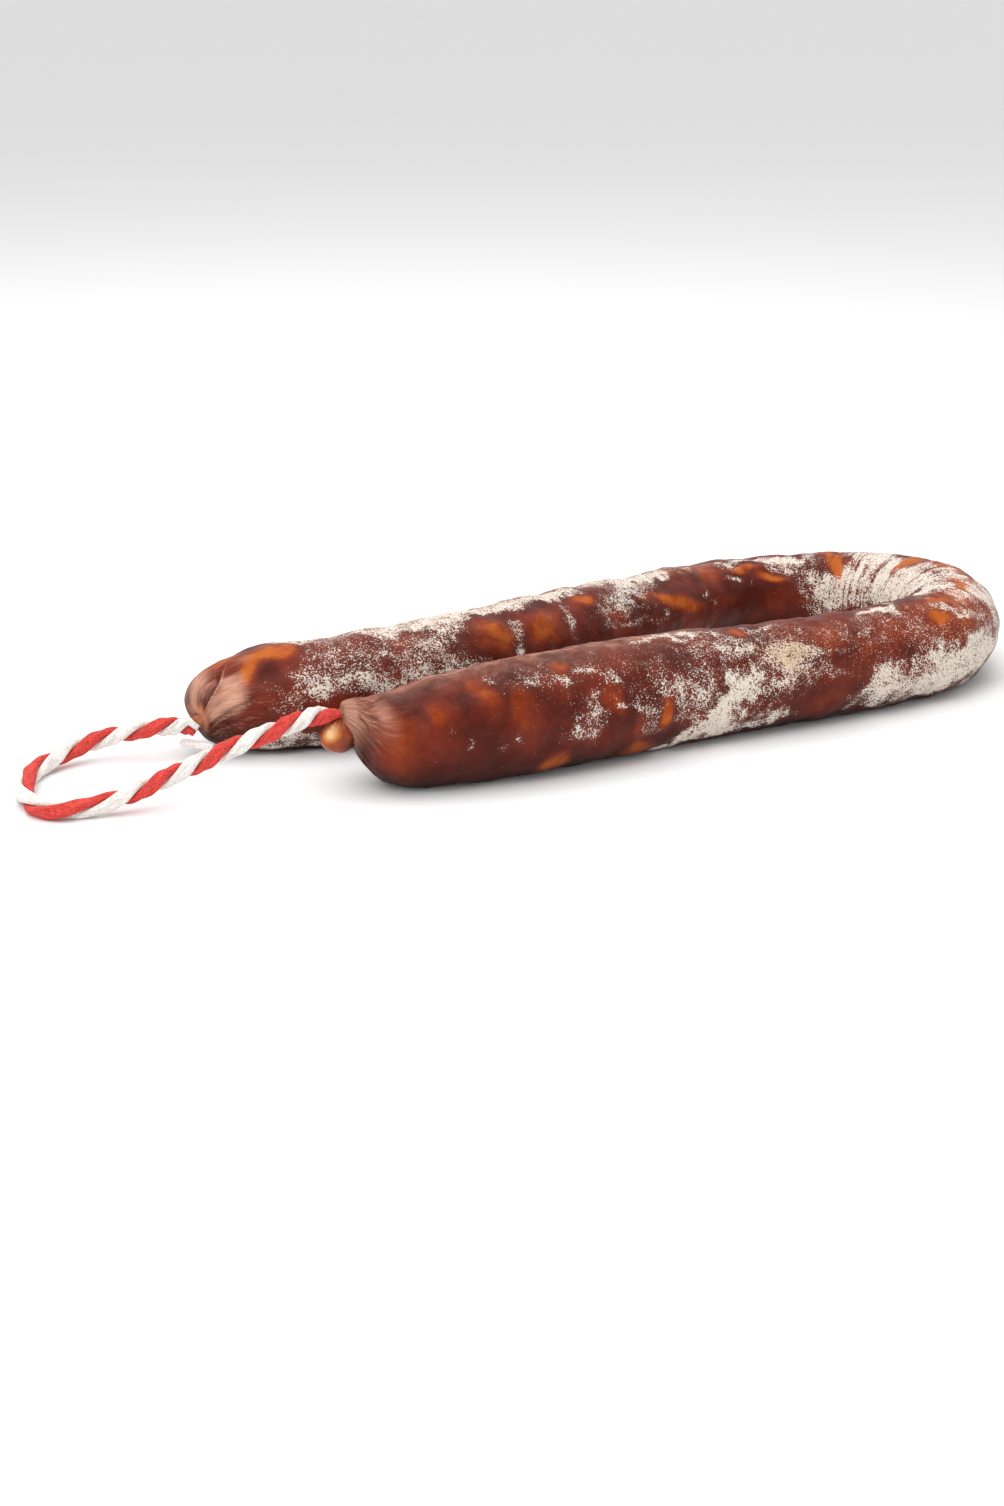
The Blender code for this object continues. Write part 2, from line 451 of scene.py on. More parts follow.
def casing_ring(distance, line):
    """The centre, forward direction and radius of the casing at a distance along its line."""
    inside = min(max(distance, 0), LENGTH)
    i = min(int(inside), LENGTH - 1)
    mix = inside - i
    point = line[i][0].lerp(line[i + 1][0], mix)
    heading = line[i][1] + (line[i + 1][1] - line[i][1]) * mix
    forward = Vector((cos(heading), sin(heading), 0))
    full = through(GIRTHS, inside / LENGTH) / 2
    centre = Vector((point.x, point.y, full - REST_FLAT))
    radius = full
    for along, cap, sense in ((distance, NEAR_CAP, -1), (LENGTH - distance, FAR_CAP, 1)):
        drawn = gathering(along, cap)
        radius = cap["radius"] + (radius - cap["radius"]) * closing(along, cap)
        centre = centre.lerp(cap["neck"], drawn)
        forward = forward.lerp(cap["aim"] * sense, drawn).normalized()
        centre = centre + cap["aim"] * max(-along, 0)
    return centre, forward, radius


def skin_stations():
    """Distances along the casing of the skin's rings, closer together on the gathered ends."""
    near, far = NEAR_CAP["length"], FAR_CAP["length"]
    body = LENGTH - near - far
    weights = np.array([END_RINGS * near, body, END_RINGS * far])
    share = weights / weights.sum()
    stations = []
    for k in range(1, ALONG):
        u = (k - 1) / (ALONG - 2)
        if u < share[0]:
            stations.append(near * (1 - cos(0.5 * pi * u / share[0])))
        elif u > 1 - share[2]:
            stations.append(LENGTH - far * (1 - cos(0.5 * pi * (1 - u) / share[2])))
        else:
            stations.append(near + body * (u - share[0]) / share[1])
    return [-NEAR_CAP["stub"] - NEAR_CUFF, *stations, LENGTH + FAR_CAP["stub"] + FAR_CUFF]


def near_angle(angle, middle):
    """The turn in degrees from a middle to an angle, from -180 to 180."""
    return (angle - middle + 180) % 360 - 180


def painted(marks, along, angle):
    """The joint cover, 0 to 1, of soft oval marks on the casing.

    A mark is its distance along in mm, its angle round in degrees, its reach along and its reach
    round, its lean in mm along for a degree round, and its strength."""
    bare = np.ones_like(along)
    for place, middle, reach, spread, lean, strength in marks:
        turn = near_angle(angle, middle)
        away = ((along - place - lean * turn) / reach) ** 2 + (turn / spread) ** 2
        bare *= 1 - strength * np.exp(-away ** 1.5)
    return np.clip(1 - bare, 0, 1)


# Fat that shows through the casing: (along, angle, reach, spread, lean, strength).
FAT_MARKS = [
    # near end and near leg
    (16, 190, 6, 60, 0, 0.42), (14, 150, 4, 34, 0, 0.3), (27, 142, 4, 22, 0.05, 0.6),
    (39, 128, 4.5, 28, 0.1, 0.62), (50, 152, 4, 28, 0.04, 0.6), (60, 219, 5, 17, 0, 0.9),
    (62, 134, 4, 26, 0, 0.4), (66, 113, 4, 9, 0, 0.66), (80, 160, 4, 26, 0, 0.56),
    (90, 226, 6, 13, -0.2, 0.85), (97, 185, 3.5, 20, 0, 0.85), (88, 196, 3, 18, 0, 0.5),
    (133, 101, 4, 10, 0, 0.8), (160, 206, 12, 22, 0, 0.42), (175, 150, 5, 14, 0, 0.45),
    (188, 134, 9, 22, 0, 0.4), (207, 128, 3.5, 8, 0, 0.85), (213, 106, 4, 7, 0, 0.62),
    (163, 130, 6, 20, 0, 0.35), (222, 112, 5, 14, 0, 0.5), (110, 110, 12, 12, 0, 0.3),
    (52, 90, 10, 14, 0, 0.3), (110, 250, 10, 18, 0, 0.5), (40, 265, 12, 20, 0, 0.4),
    # bend
    (232, 104, 10, 20, -0.1, 0.7), (258, 98, 10, 14, 0, 0.55), (273, 74, 4, 34, 0.04, 1.0),
    (306, 62, 3.2, 34, 0.15, 1.0), (300, 40, 3, 20, 0.1, 0.5), (285, 60, 5, 20, 0, 0.4),
    (238, 120, 24, 44, 0, 0.46), (204, 122, 22, 34, 0, 0.3), (292, 46, 18, 60, 0, 0.42),
    (262, 100, 20, 40, 0, 0.36), (162, 116, 18, 32, 0, 0.36),
    (213, 148, 15, 26, 0, 0.4), (206, 108, 14, 20, 0, 0.32), (216, 94, 8, 14, 0, 0.35),
    (262, 172, 6, 14, 0, 0.6), (236, 205, 6, 16, 0, 0.5), (318, 150, 8, 20, 0, 0.6),
    # far leg
    (334, 36, 8, 12, 0.3, 0.85), (347, 60, 10, 10, 0.3, 0.85), (366, 66, 8, 30, 0, 0.62),
    (388, 22, 9, 12, 0.5, 0.72), (397, 38, 7, 12, 0.3, 0.85), (409, 42, 6, 11, 0, 0.55),
    (437, 64, 6, 14, 0, 0.98), (425, 34, 7, 12, 0, 0.4), (461, 42, 9, 24, 0, 0.78),
    (483, 48, 9, 24, 0, 0.76), (516, 58, 3.5, 10, 0, 0.55), (552, 76, 7, 16, 0, 0.95),
    (559, 52, 3.5, 26, 0, 0.9), (576, 60, 3, 170, 0, 0.95), (565, 92, 6, 24, 0, 0.72),
    (556, 66, 4, 12, 0, 0.55), (380, 135, 9, 18, 0, 0.6),
    (450, 160, 8, 20, 0, 0.7), (498, 130, 7, 16, 0, 0.6), (530, 178, 8, 20, 0, 0.6),
    (420, 205, 9, 16, 0, 0.5),
]

# Bloom, in the same form.
BLOOM_MARKS = [
    # near leg: faint all over, then closer patches
    (118, 150, 36, 56, 0, 0.3), (66, 140, 22, 34, 0, 0.16), (66, 118, 24, 14, 0, 0.2),
    (33, 169, 1.6, 9, 0, 0.5), (48, 186, 4, 14, 0, 0.34), (43, 118, 2.4, 8, 0, 0.62),
    (54, 128, 3, 10, 0, 0.4), (61, 124, 3, 10, 0, 0.5), (70, 122, 3, 8, 0, 0.45),
    (81, 124, 3, 12, 0, 0.55), (68, 180, 5, 20, 0.1, 0.5), (74, 168, 3, 12, 0, 0.45),
    (83, 172, 2, 9, 0, 0.75), (92, 190, 4, 20, 0, 0.42), (104, 168, 12, 30, 0, 0.38),
    (102, 233, 8, 9, -0.5, 1.0), (112, 220, 8, 13, -0.3, 0.95), (121, 200, 7, 20, -0.15, 1.0),
    (118, 206, 10, 18, 0, 0.75),
    (127, 172, 5, 18, 0, 0.8), (122, 222, 7, 12, 0, 0.8), (133, 228, 7, 9, -0.3, 0.6),
    (140, 214, 8, 11, 0, 0.6), (141, 176, 9, 22, 0, 0.4), (147, 140, 9, 24, 0, 0.6),
    (112, 100, 14, 9, 0, 0.6), (100, 96, 8, 8, 0, 0.5), (128, 122, 12, 16, 0, 0.4),
    (143, 98, 8, 9, 0, 0.6), (160, 170, 9, 10, 0, 0.35), (184, 128, 44, 34, 0, 0.34),
    (190, 94, 9, 12, -0.4, 0.85), (182, 200, 11, 32, 0, 0.78), (204, 196, 12, 40, 0, 0.97),
    (222, 195, 9, 38, 0, 0.9), (213, 168, 9, 16, 0, 0.7), (216, 126, 3, 26, 0.2, 0.6),
    # bend
    (224, 76, 14, 13, -0.3, 0.97), (246, 54, 16, 26, -0.3, 0.93), (240, 92, 12, 14, 0, 0.6),
    (228, 108, 9, 24, 0, 0.6), (242, 150, 10, 30, 0, 0.6), (260, 74, 9, 30, 0, 0.56),
    (262, 30, 12, 30, 0, 0.85),
    (284, 46, 12, 46, 0, 0.88), (300, 20, 14, 40, 0, 0.6), (290, 84, 16, 16, 0, 0.84),
    (272, 10, 12, 40, 0, 0.7), (252, 90, 14, 12, 0, 0.6),
    (236, 130, 10, 26, 0, 0.5), (262, 118, 12, 18, 0, 0.55), (298, 108, 14, 18, 0, 0.6),
    (250, 188, 24, 30, 0, 0.75), (290, 195, 14, 34, 0, 0.5), (314, 22, 10, 46, 0.1, 0.52),
    # far leg
    (326, 80, 16, 15, 0, 0.9), (345, 84, 12, 9, 0, 0.75), (330, 56, 8, 12, 0.3, 0.5),
    (354, 39, 6, 8, 0, 0.58), (374, 32, 3, 6, 0, 0.5), (353, 70, 10, 10, 0, 0.35),
    (392, 84, 12, 12, 0, 0.76), (408, 84, 14, 16, 0, 0.86), (412, 58, 15, 22, 0, 0.6),
    (420, 42, 13, 18, 0, 0.3), (434, 32, 6, 14, 0, 0.42), (400, 20, 4, 9, 0, 0.5),
    (422, 16, 20, 7, 0, 0.42), (447, 46, 4, 24, 0, 0.55),
    (446, 88, 16, 13, 0, 0.86), (470, 86, 12, 14, 0, 0.76), (473, 36, 3.5, 18, 0, 0.58),
    (490, 88, 16, 13, 0, 0.8), (502, 52, 9, 42, 0, 0.5), (498, 74, 8, 12, 0, 0.5),
    (520, 52, 14, 42, 0, 0.38), (516, 90, 18, 12, 0, 0.62), (539, 52, 9, 42, 0, 0.46),
    (524, 20, 18, 20, 0, 0.46), (500, 8, 22, 16, 0, 0.42), (548, 16, 8, 16, 0, 0.4),
    (552, 322, 16, 20, 0, 0.66), (512, 335, 20, 22, 0, 0.5), (548, 100, 9, 10, 0, 0.5),
    # sides that face away
    (400, 102, 40, 16, 0, 0.6), (480, 106, 40, 18, 0, 0.62), (540, 108, 18, 18, 0, 0.5),
    (350, 140, 20, 26, 0, 0.6), (410, 128, 26, 24, 0, 0.75), (470, 150, 18, 30, 0, 0.6),
    (515, 130, 20, 26, 0, 0.7), (390, 210, 24, 26, 0, 0.5), (450, 235, 22, 20, 0, 0.45),
    (380, 320, 26, 18, 0, 0.4), (120, 40, 18, 26, 0, 0.65), (60, 30, 18, 22, 0, 0.45),
    (160, 20, 18, 30, 0, 0.55), (90, 330, 22, 24, 0, 0.4), (200, 40, 14, 24, 0, 0.6),
]

# Where fat lies bare of bloom, in the same form.
BARE_MARKS = [
    (273, 72, 3, 26, 0, 0.95), (306, 62, 3, 30, 0.15, 0.95), (437, 64, 5, 12, 0, 0.85),
    (232, 100, 5, 12, -0.1, 0.7), (213, 106, 4, 7, 0, 0.8), (258, 98, 6, 10, 0, 0.7),
    (133, 101, 4, 10, 0, 0.85), (97, 184, 4, 15, 0, 0.9), (66, 114, 5, 10, 0, 0.9),
    (483, 48, 6, 20, 0, 0.5), (461, 42, 6, 20, 0, 0.5), (207, 128, 4, 9, 0, 0.7),
]

# Bloom that has turned yellow, and the finest dust with a painted sheen along the tops, in the same
# form.
YELLOW_MARKS = [(147, 136, 8, 20, 0, 0.8), (136, 128, 6, 10, 0, 0.4), (210, 235, 8, 10, 0, 0.5)]
DUST_AND_SHEEN_MARKS = [
    (45, 79, 50, 13, 0, 0.64), (100, 81, 22, 12, 0, 0.56), (24, 82, 12, 14, 0, 0.36),
    (60, 92, 60, 22, 0, 0.28),
    (370, 88, 24, 16, 0, 0.5), (552, 100, 8, 14, 0, 0.3), (460, 105, 80, 18, 0, 0.4),
]

# Painted highlights where the skin of the two ends is glossy over its fat, in the same form.
PAINTED_HIGHLIGHT_MARKS = [
    (0, 150, 5, 150, 0, 0.6), (7, 140, 6, 50, 0, 0.3), (12, 124, 3, 18, 0, 0.3),
    (14, 150, 3.4, 30, 0, 0.22),
    (560, 74, 3, 10, 0, 0.3), (563, 48, 3.4, 10, 0, 0.4), (564, 26, 4.6, 26, 0, 0.74),
    (564, 22, 2.6, 10, 0, 0.5), (566, 118, 4, 18, 0, 0.4), (567, 56, 3, 10, 0, 0.3),
    (569.5, 12, 3.4, 16, 0, 0.62), (570, 34, 3, 16, 0, 0.5), (570.5, 90, 3.6, 30, 0, 0.68),
    (575, 60, 2.2, 150, 0, 0.6),
]

# Where the skin is drawn into fine pleats, and where it is lifted or sunk, with a height in mm in
# place of the strength.
PLEAT_MARKS = [(3, 130, 11, 62, 0, 1.0), (571, 60, 8, 100, 0, 0.75), (562, 8, 9, 26, 0, 0.5),
               (3, 320, 9, 90, 0, 0.8), (571, 240, 8, 90, 0, 0.8)]
LIFT_MARKS = [
    (4.5, 190, 4, 34, 0, -1.6), (13.5, 160, 4.5, 66, 0, 1.0), (20, 150, 3, 50, 0, -0.6),
    (33, 160, 4, 30, 0.1, -0.4), (62, 150, 7, 30, 0, 0.4), (74, 178, 4, 22, 0, -0.35),
    (98, 178, 5, 14, 0, 0.35), (462, 38, 8, 18, 0, 0.5), (484, 45, 8, 18, 0, 0.5),
    (473, 45, 3, 22, 0, -0.5), (352, 50, 12, 20, 0, 0.5), (396, 40, 9, 18, 0, 0.4),
    (552, 75, 8, 20, 0, 0.5), (541, 70, 4, 40, 0, -0.4), (505, 70, 3, 40, 0.1, -0.4),
    (520, 60, 4, 40, 0.1, 0.3),
]

# Folds of the skin that run out from the necks: (along, angle) points, depth and width in mm.
FOLDS = [
    ([(574, 44), (571, 42), (568.4, 47), (566.9, 53), (565.3, 71), (563.5, 84)], 0.9, 0.45),
    ([(573.6, 350), (567.6, 2), (563.2, 11), (559.3, 18), (556, 27)], 0.5, 0.6),
    ([(573.6, 325), (569, 345), (564, 352), (559, 0)], 0.35, 0.6),
    ([(573.8, 112), (571.8, 106), (569, 112), (566, 122)], 0.35, 0.7),
    ([(573.8, 70), (571.8, 74), (569.8, 82)], 0.4, 0.6),
    ([(572, 20), (567, 24), (562, 30)], 0.25, 0.7),
    ([(3, 112), (7.8, 104), (11.8, 99), (16, 95)], 0.45, 0.5),
    ([(3, 122), (7, 118), (12, 113), (17, 108)], 0.3, 0.5),
    ([(3, 128), (7.4, 133), (10.5, 139), (14, 145)], 0.45, 0.5),
    ([(3, 136), (5.9, 152), (8, 168)], 0.5, 0.5),
    ([(3, 95), (8, 86), (14, 80)], 0.35, 0.6),
]

# Where the bend wrinkles the casing, and draws the bloom into streaks that run round it.
STREAK_MARKS = [(262, 60, 52, 120, 0, 1.0)]
WRINKLE_MARKS = [(258, 30, 55, 70, 0, 1.0), (258, 110, 42, 40, 0, 0.5),
                 (215, 95, 20, 25, -0.2, 0.5)]
WRINKLE_PITCH = 4.6
WRINKLE_DEPTH = 0.32

# Lumps of the casing as (size in mm, height in mm). The big ones are half as high on the near leg,
# which is filled tighter, and all fade where the casing narrows.
BIG_LUMPS, MIDDLE_LUMPS, SMALL_LUMPS = (13, 1), (6, 0.6), (2.5, 0.2)
TIGHT_SHARE = 0.5
SLACK_START = (110, 200)
FULL_RADIUS = 12
FAT_SWELL = 0.3                                         # how far fat stands out

# A fold's rim in parts of its depth, how dark the painted shade in its floor is for its depth, how
# soon it sets in and dies away along its run, and where its rim, which carries a painted highlight,
# lies and how wide it is in parts of its width.
FOLD_RIM = 0.35
FOLD_SHADE = 1.1
FOLD_ONSET = 6
FOLD_FADE = 3
RIM_PLACE = 1.5
RIM_WIDTH = 0.6

# Broad pleats at the two necks: how many, their lean in degrees a mm, their depth in parts of the
# radius, and how far the neck's edge is drawn in.
NEAR_GATHERS = (19, 0.7, 0.022, 1.6)
FAR_GATHERS = (11, -0.4, 0.011, 0.3)

# Fine pleats: the near ones fan out from an angle over a distance, and there are fewer of them
# for each one at the far end.
FAN_MIDDLE = 118
FAN_SPREAD = 20
FAN_REACH = 14
FAN_PITCH = 0.012
NEAR_PLEATS = 0.75

# How far the edges of the marks stray: a size in mm, then mm along and degrees round. Bloom drifts
# on with the rest, and is ragged besides.
DRIFT_SIZE, DRIFT_ALONG, DRIFT_ROUND = 9, 3, 10
BLOOM_DRIFT_ALONG, BLOOM_DRIFT_ROUND = 3, 8
RAGGED_SIZE, RAGGED_ALONG, RAGGED_ROUND = 3.5, 3.5, 12


def skin_frame():
    """Arrays of the centre, left, up and forward directions and radius at each station."""
    line = centreline()
    rings = [casing_ring(distance, line) for distance in skin_stations()]
    centre, forward, radius = (np.array(track) for track in zip(*rings))
    left = np.cross((0, 0, 1), forward)
    left /= np.linalg.norm(left, axis=1)[:, None]
    return centre, left, np.cross(forward, left), forward, radius


def build_casing():
    casing, ring, side = rolled_sheet("casing_skin", ALONG, AROUND)
    mesh = casing.data
    along = np.array(skin_stations())[ring]
    angle = 360 * side / AROUND
    centre, left, up, forward, radius = (track[ring] for track in skin_frame())
    turn = np.radians(angle)
    out = np.cos(turn)[:, None] * left + np.sin(turn)[:, None] * up
    lobe = np.sin(pi * np.clip((LENGTH - along) / LOBE_REACH, 0, 1) ** 0.5)
    push = lobe * LOBE_PUSH * np.exp(-(near_angle(angle, LOBE_ANGLE) / LOBE_WIDTH) ** 2)
    push += FUNNEL_DEPTH * smoothstep(*FUNNEL_START, along) * (1 - smoothstep(*GATHER_FADE, along))
    height, crease_shade, rim_highlights = casing_relief(centre + radius[:, None] * out, along, angle, radius)
    place = centre + (radius + height)[:, None] * out + push[:, None] * forward
    place[:, 2] = np.maximum(place[:, 2], 0)
    write_points(mesh, place * MM)

    unbent = np.stack([along, radius * np.cos(turn), radius * np.sin(turn)], axis=1)
    write_vectors(mesh, "unbent", unbent * MM)
    write_vectors(mesh, "fan", pleat_fan(along, angle))
    write_attribute(mesh, "painted_highlight", np.maximum(painted(PAINTED_HIGHLIGHT_MARKS, along, angle), rim_highlights))
    write_attribute(mesh, "crease_shade", crease_shade)
    # Painted shade: darker towards the underside of the casing.
    write_attribute(mesh, "painted_shade", smoothstep(0.15, 0.95, -np.sin(turn)))
    write_marks(mesh, place, along, angle)
    close_skin()
    mesh.shade_smooth()
    mesh.materials.append(casing_finish())
    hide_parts("sausage")
    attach(casing, "root")


def pleat_fan(along, angle):
    """Where the noise of the fine pleats is read, so that they run along and fan out."""
    opened = np.clip(along / FAN_REACH, 0, 1)
    turn = np.radians(angle - FAN_SPREAD * np.sin(np.radians(angle - FAN_MIDDLE)) * opened)
    fan = np.stack([np.cos(turn), np.sin(turn), along * FAN_PITCH], axis=1)
    return fan * np.where(along < LENGTH / 2, NEAR_PLEATS, 1)[:, None]


def write_marks(mesh, place, along, angle):
    """The covers of fat, bloom and the rest, with edges that stray, and more so for bloom."""
    drift_along = lumps(place, DRIFT_SIZE, 7)
    drift_round = lumps(place, DRIFT_SIZE, 8)
    soft_along = along + DRIFT_ALONG * drift_along
    soft_angle = angle + DRIFT_ROUND * drift_round
    for name, marks in (("fat", FAT_MARKS), ("streaks", STREAK_MARKS), ("pleats", PLEAT_MARKS),
                        ("dust_and_sheen", DUST_AND_SHEEN_MARKS)):
        write_attribute(mesh, name, painted(marks, soft_along, soft_angle))
    stray_along = soft_along + BLOOM_DRIFT_ALONG * drift_along
    stray_along += RAGGED_ALONG * lumps(place, RAGGED_SIZE, 9)
    stray_angle = soft_angle + BLOOM_DRIFT_ROUND * drift_round
    stray_angle += RAGGED_ROUND * lumps(place, RAGGED_SIZE, 10)
    write_attribute(mesh, "yellow", painted(YELLOW_MARKS, stray_along, stray_angle))
    bared = painted(BARE_MARKS, soft_along, soft_angle)
    write_attribute(mesh, "bloom", painted(BLOOM_MARKS, stray_along, stray_angle) * (1 - bared))


def casing_relief(place, along, angle, radius):
    """The casing's lumps, folds and wrinkles in mm, outwards, and the painted shade in the folds'
    floors and the painted highlight on their rims.
    """
    slack = TIGHT_SHARE + (1 - TIGHT_SHARE) * smoothstep(*SLACK_START, along)
    height = np.zeros_like(along)
    for (size, tall), seed, share in ((BIG_LUMPS, 1, slack), (MIDDLE_LUMPS, 2, 1),
                                      (SMALL_LUMPS, 3, 1)):
        height += share * tall * lumps(place, size, seed)
    height *= np.clip(radius / FULL_RADIUS, 0, 1)
    for *mark, lift in LIFT_MARKS:
        height += lift * painted([(*mark, 1)], along, angle)
    height += FAT_SWELL * painted(FAT_MARKS, along, angle)
    height += bend_wrinkles(place, along, angle) + gathers(along, angle, radius)
    crease_shade = np.zeros_like(along)
    rim_highlights = np.zeros_like(along)
    for points, depth, width in FOLDS:
        off, run = fold_distance(points, along, angle, radius)
        shown = np.clip(run * FOLD_ONSET, 0, 1) * np.clip((1 - run) * FOLD_FADE, 0, 1)
        floor = shown * np.exp(-(off / width) ** 2)
        rim = shown * np.exp(-((off + RIM_PLACE * width) / (RIM_WIDTH * width)) ** 2)
        height += depth * (FOLD_RIM * rim - floor)
        strength = min(depth * FOLD_SHADE, 1)
        crease_shade = np.maximum(crease_shade, strength * floor)
        rim_highlights = np.maximum(rim_highlights, strength * rim)
    return height, crease_shade, rim_highlights


def fold_distance(points, along, angle, radius):
    """How far to a fold's left each place on the skin is in mm, and how far down it, 0 to 1."""
    nearest = np.full_like(along, 1e3)
    off = np.full_like(along, 1e3)
    run = np.zeros_like(along)
    count = len(points) - 1
    for k in range(count):
        (begin, low), (end, high) = points[k], points[k + 1]
        span_along = end - begin
        span_round = radians(near_angle(high, low)) * radius
        from_along = along - begin
        from_round = np.radians(near_angle(angle, low)) * radius
        size = span_along ** 2 + span_round ** 2 + 1e-6
        part = np.clip((from_along * span_along + from_round * span_round) / size, 0, 1)
        away = np.hypot(from_along - part * span_along, from_round - part * span_round)
        side = np.sign(from_round * span_along - from_along * span_round) * np.sign(span_along)
        closer = away < nearest
        nearest = np.where(closer, away, nearest)
        off = np.where(closer, away * side, off)
        run = np.where(closer, (k + part) / count, run)
    return off, run


def bend_wrinkles(place, along, angle):
    """Wrinkles across the casing where the bend squeezes its inner side."""
    shown = painted(WRINKLE_MARKS, along, angle)
    phase = 2 * pi * along / WRINKLE_PITCH + 5 * lumps(place, 16, 5)
    return shown * WRINKLE_DEPTH * np.sin(phase) * (0.6 + 0.8 * lumps(place, 7, 6))


def gathers(along, angle, radius):
    """The broad pleats that run into the two necks, and the necks' thin edges."""
    height = np.zeros_like(along)
    for run, pleats in ((along, NEAR_GATHERS), (LENGTH - along, FAR_GATHERS)):
        count, lean, depth, draw = pleats
        shown = smoothstep(-1.5, 1.5, run) * (1 - smoothstep(*GATHER_FADE, run))
        turn = np.radians(angle + lean * run)
        folds = np.sin(count * turn) + 0.7 * np.sin((count + 4) * turn + 1.3)
        height += shown * depth * radius * folds
        height -= (1 - smoothstep(-2.5, 3.5, run)) * draw
    return height


def casing_finish():
    paint = Paint("casing_skin")
    unbent = paint.attribute("unbent", "Vector")
    fat, bloom, painted_highlight = paint.attribute("fat"), paint.attribute("bloom"), paint.attribute("painted_highlight")
    streaks, dust_and_sheen = paint.attribute("streaks"), paint.attribute("dust_and_sheen")

    # What breaks up the edges of fat and bloom: patches on the legs, streaks on the bend.
    patchy = paint.noise(1, 4, 0.62, at=paint.stretched((240, 240, 240), unbent))
    drawn = paint.noise(1, 4, 0.6, at=paint.stretched((520, 60, 60), unbent))
    drawn = 0.5 + (drawn - 0.5) * 2.2
    broken = patchy * (1 - streaks) + drawn * streaks

    # Meat: dark and light maroon, with painted shade towards the underside, and fat with a soft
    # edge and a brighter middle.
    mottle = paint.noise(70, 3, 0.6)
    fine = paint.noise(420, 3, 0.6)
    meat = paint.mix(mottle.step(0.35, 0.7), MEAT_DARK, MEAT_LIGHT)
    edge = fat * (1 + (paint.noise(150, 4, 0.66) - 0.5) * 0.5 + (broken - 0.5) * 1.3)
    meat = paint.mix(edge.step(0.1, 0.75), meat, FAT_RED)
    meat = paint.mix(edge.step(0.5, 1.0), meat, FAT_ORANGE)
    meat = paint.mix(paint.attribute("painted_shade") * (1 - edge * 0.6) * 0.86, meat, MEAT_PAINTED_SHADE)
    meat = paint.mix((fine - 0.35) * 0.35, meat, MEAT_DARK)

    # Pleats: fine ridges that run out from the necks, with painted shade between them and a painted
    # highlight on top.
    pleats = paint.attribute("pleats")
    ridges = paint.noise(26, 2, 0.5, at=paint.attribute("fan", "Vector"))
    meat = paint.mix(pleats * (1 - ridges.step(0.34, 0.5)) * 0.32, meat, MEAT_DARK)
    # Painted highlights on the glossy ends and the rims of the folds, broken up by the pleats.
    highlight_on_ridges = painted_highlight * (0.55 + ridges * 0.6)
    meat = paint.mix(highlight_on_ridges.step(0.05, 0.9) * 0.85, meat, PAINTED_HIGHLIGHT_PINK)
    meat = paint.mix(pleats * ridges.step(0.5, 0.68) * 0.3, meat, PAINTED_HIGHLIGHT_PINK)
    # Painted shade in the floors of the folds.
    meat = paint.mix(paint.attribute("crease_shade") * 0.75, meat, MEAT_PAINTED_SHADE)

    # Bloom: a net of grains that closes up where the cover is dense.
    cover = (bloom * (1 + (broken - 0.5) * (1 - bloom * 0.55) * 3)).at_least(0)
    net = paint.noise(900, 2, 0.55)
    veins = 1 - (net - 0.5).size() * 6
    grain = paint.noise(2400, 1, 0.5) * 0.74 + veins.limit() * 0.28
    opening = 0.82 - cover.power(1.2) * 0.54
    speck = (grain - opening).step(-0.03, 0.06)
    film = cover.step(0.5, 1.3) * 0.55
    chalk = paint.mix(grain.step(0.3, 0.6), BLOOM_SHADE, BLOOM_WHITE)
    chalk = paint.mix(paint.attribute("yellow") * 0.8, chalk, BLOOM_YELLOW)
    # Painted sheen of dust along the tops, broken into patches, and a faint haze where there is
    # bloom.
    dust_sheen_haze = dust_and_sheen * (0.2 + patchy.step(0.36, 0.64) * 0.75) + cover.step(0.1, 0.8) * 0.15
    base = paint.mix(dust_sheen_haze.limit(), meat, DUST_AND_SHEEN)
    base = paint.mix(film, base, chalk)
    base = paint.mix(speck * 0.9, base, chalk)

    # Gloss, and relief from the coarsest to the finest.
    rough = 0.34 + fine * 0.16 + dust_and_sheen * 0.15 + speck * 0.4 - painted_highlight * 0.12
    normal = paint.bump(paint.noise(330, 4, 0.65), 0.4, 0.0008)
    normal = paint.bump(net, 0.35, 0.0005, normal)
    normal = paint.bump(pleats * ridges, 0.7, 0.001, normal)
    normal = paint.bump(speck, 0.5, 0.0002, normal)
    paint.shader(base, rough, normal, Specular_IOR_Level=0.14)
    return paint.material


# ---------------------------------------------------------------------------------------------
# The end bulb.
# ---------------------------------------------------------------------------------------------

BULB_RED = srgb(138, 52, 20)
BULB_AMBER = srgb(172, 82, 30)
# Painted highlight on the bulb: its broad tone and its brightest middle.
BULB_PAINTED_HIGHLIGHT = srgb(206, 138, 70)
BULB_SHINE = srgb(240, 210, 158)

# The sides that the bulb's tones lie on (its painted highlight, its painted shade and its skin),
# its pleats, and how it is drawn up under the twine.
BULB_LIT_SIDE = Vector((-0.72, -0.5, 0.42)).normalized()
BULB_SHADED_SIDE = Vector((0.9, -0.4, -0.2)).normalized()
BULB_SKIN_SIDE = Vector((0.35, -0.1, 0.93)).normalized()
BULB_PLEATS = 11
BULB_PLEAT_DEPTH = 0.22
BULB_DRAWN = 0.5
BULB_LEAN = 2.0
BULB_LUMPS, BULB_WRINKLES = (5.5, 0.7), (1.6, 0.15)


